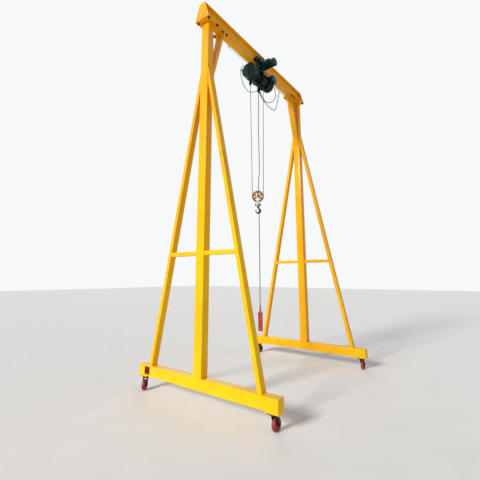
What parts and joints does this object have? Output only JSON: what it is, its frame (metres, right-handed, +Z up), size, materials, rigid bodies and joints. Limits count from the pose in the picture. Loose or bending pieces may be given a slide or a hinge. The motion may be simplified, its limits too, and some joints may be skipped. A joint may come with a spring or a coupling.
{
  "type": "gantry crane",
  "caption": "Tall yellow gantry crane on red swivel castors: A-shaped end frames, an I-beam girder and a green wire-rope hoist on a trolley, with a hook block and a hanging pendant",
  "frame": {"origin": "on the floor, under the centre of the crane's bounding box", "axes": "+X along the girder from the near end frame to the far one, +Y across the girder to the left when looking along +X, +Z up"},
  "size_m": [3.39, 2.48, 6.12],
  "materials": {
    "frame_yellow": "bright yellow gloss paint over rolled steel",
    "hoist_green": "dark green gloss enamel",
    "dark_metal": "black paint, slightly worn",
    "wheel_red": "red polyurethane",
    "box_blue": "blue enamel",
    "sheave_orange": "worn orange paint",
    "bare_steel": "bare steel, lightly greased",
    "rope_steel": "greased wire rope",
    "cable_black": "black rubber cable sheath",
    "pendant_red": "moulded orange-red plastic"
  },
  "bodies": {
    "frame": {"girder": "frame_yellow", "girder_gussets": "frame_yellow", "post_plates_near": "frame_yellow", "post_plates_far": "frame_yellow", "messenger_wire": "bare_steel", "girder_plates_near": "frame_yellow", "girder_plates_far": "frame_yellow", "base_beam_near": "frame_yellow", "base_beam_far": "frame_yellow", "post_near": "frame_yellow", "post_far": "frame_yellow", "leg_near_left": "frame_yellow", "leg_near_right": "frame_yellow", "leg_far_left": "frame_yellow", "leg_far_right": "frame_yellow", "crossbar_near": "frame_yellow", "crossbar_far": "frame_yellow", "knee_brace_near": "frame_yellow", "knee_brace_far": "frame_yellow", "castor_plates": "dark_metal"},
    "castor_fork_near_left": {"castor_fork_near_left": "dark_metal"},
    "castor_wheel_near_left": {"castor_wheel_near_left": "wheel_red"},
    "castor_fork_near_right": {"castor_fork_near_right": "dark_metal"},
    "castor_wheel_near_right": {"castor_wheel_near_right": "wheel_red"},
    "castor_fork_far_left": {"castor_fork_far_left": "dark_metal"},
    "castor_wheel_far_left": {"castor_wheel_far_left": "wheel_red"},
    "castor_fork_far_right": {"castor_fork_far_right": "dark_metal"},
    "castor_wheel_far_right": {"castor_wheel_far_right": "wheel_red"},
    "trolley": {"trolley_plate_left": "dark_metal", "trolley_plate_right": "dark_metal", "suspension_rods": "bare_steel", "trolley_drive": "hoist_green", "gearbox": "hoist_green", "drum_shell": "hoist_green", "drum_casing": "dark_metal", "rope_guide": "dark_metal", "rope_anchor": "dark_metal", "hoist_motor": "hoist_green", "control_box": "box_blue", "rope_fall_left": "rope_steel", "rope_fall_right": "rope_steel", "cable_clamp": "dark_metal", "pendant_cable": "cable_black", "pendant": "pendant_red", "pendant_buttons": "cable_black", "drive_cowl": "dark_metal", "supply_cable_1": "cable_black", "supply_cable_2": "cable_black", "limit_cable": "cable_black"},
    "trolley_wheel_1": {"trolley_wheel_1": "dark_metal"},
    "trolley_wheel_2": {"trolley_wheel_2": "dark_metal"},
    "trolley_wheel_3": {"trolley_wheel_3": "dark_metal"},
    "trolley_wheel_4": {"trolley_wheel_4": "dark_metal"},
    "cable_ring_1": {"cable_ring_1": "bare_steel"},
    "cable_ring_2": {"cable_ring_2": "bare_steel"},
    "rope_drum": {"rope_drum": "rope_steel"},
    "hook_block": {"block_straps": "bare_steel", "rope_bight": "rope_steel"},
    "sheave": {"sheave": "sheave_orange"},
    "hook": {"hook": "bare_steel"}
  },
  "joints": [
    {"name": "swivel_near_left", "type": "hinge", "parent": "frame", "child": "castor_fork_near_left", "pos_m": [-1.55, 1.15, 0.18], "axis": [0, 0, 1], "continuous": true},
    {"name": "roll_near_left", "type": "hinge", "parent": "castor_fork_near_left", "child": "castor_wheel_near_left", "pos_m": [-1.58291, 1.131, 0.075], "axis": [0.5, -0.866, 0], "continuous": true},
    {"name": "swivel_near_right", "type": "hinge", "parent": "frame", "child": "castor_fork_near_right", "pos_m": [-1.55, -1.15, 0.18], "axis": [0, 0, 1], "continuous": true},
    {"name": "roll_near_right", "type": "hinge", "parent": "castor_fork_near_right", "child": "castor_wheel_near_right", "pos_m": [-1.512, -1.15, 0.075], "axis": [0, 1, 0], "continuous": true},
    {"name": "swivel_far_left", "type": "hinge", "parent": "frame", "child": "castor_fork_far_left", "pos_m": [1.55, 1.15, 0.18], "axis": [0, 0, 1], "continuous": true},
    {"name": "roll_far_left", "type": "hinge", "parent": "castor_fork_far_left", "child": "castor_wheel_far_left", "pos_m": [1.588, 1.15, 0.075], "axis": [0, 1, 0], "continuous": true},
    {"name": "swivel_far_right", "type": "hinge", "parent": "frame", "child": "castor_fork_far_right", "pos_m": [1.55, -1.15, 0.18], "axis": [0, 0, 1], "continuous": true},
    {"name": "roll_far_right", "type": "hinge", "parent": "castor_fork_far_right", "child": "castor_wheel_far_right", "pos_m": [1.588, -1.15, 0.075], "axis": [0, 1, 0], "continuous": true},
    {"name": "trolley_travel", "type": "slide", "parent": "frame", "child": "trolley", "axis": [1, 0, 0], "range_m": [-0.55, 0.7], "deforming": ["supply_cable_1", "supply_cable_2"]},
    {"name": "wheel_turn_1", "type": "hinge", "parent": "trolley", "child": "trolley_wheel_1", "pos_m": [-0.21, 0, 5.9126], "axis": [0, 1, 0], "range_deg": [-900, 900]},
    {"name": "wheel_turn_2", "type": "hinge", "parent": "trolley", "child": "trolley_wheel_2", "pos_m": [-0.21, 0, 5.9126], "axis": [0, 1, 0], "range_deg": [-900, 900]},
    {"name": "wheel_turn_3", "type": "hinge", "parent": "trolley", "child": "trolley_wheel_3", "pos_m": [-0.01, 0, 5.9126], "axis": [0, 1, 0], "range_deg": [-900, 900]},
    {"name": "wheel_turn_4", "type": "hinge", "parent": "trolley", "child": "trolley_wheel_4", "pos_m": [-0.01, 0, 5.9126], "axis": [0, 1, 0], "range_deg": [-900, 900]},
    {"name": "ring_slide_1", "type": "slide", "parent": "trolley", "child": "cable_ring_1", "axis": [1, 0, 0], "range_m": [-0.39, 0.31]},
    {"name": "ring_slide_2", "type": "slide", "parent": "trolley", "child": "cable_ring_2", "axis": [1, 0, 0], "range_m": [-0.53, 0.42]},
    {"name": "drum_turn", "type": "hinge", "parent": "trolley", "child": "rope_drum", "pos_m": [-0.13, 0, 5.612], "axis": [1, 0, 0], "range_deg": [-2000, 2700]},
    {"name": "hook_lift", "type": "slide", "parent": "trolley", "child": "hook_block", "axis": [0, 0, 1], "range_m": [-2.6, 1.9], "deforming": ["rope_fall_left", "rope_fall_right"]},
    {"name": "sheave_turn", "type": "hinge", "parent": "hook_block", "child": "sheave", "pos_m": [-0.13, 0, 3.14], "axis": [0.866, 0.5, 0], "range_deg": [-1150, 1550]},
    {"name": "hook_swivel", "type": "hinge", "parent": "hook_block", "child": "hook", "pos_m": [-0.13, 0, 2.96], "axis": [0, 0, 1], "continuous": true}
  ],
  "couplings": [
    {"joint": "wheel_turn_1", "follows": "trolley_travel", "rad_per_m": 16.667},
    {"joint": "wheel_turn_2", "follows": "trolley_travel", "rad_per_m": 16.667},
    {"joint": "wheel_turn_3", "follows": "trolley_travel", "rad_per_m": 16.667},
    {"joint": "wheel_turn_4", "follows": "trolley_travel", "rad_per_m": 16.667},
    {"joint": "ring_slide_1", "follows": "trolley_travel", "ratio": -0.55},
    {"joint": "ring_slide_2", "follows": "trolley_travel", "ratio": -0.75},
    {"joint": "drum_turn", "follows": "hook_lift", "rad_per_m": -17.544},
    {"joint": "sheave_turn", "follows": "hook_lift", "rad_per_m": -9.901}
  ]
}
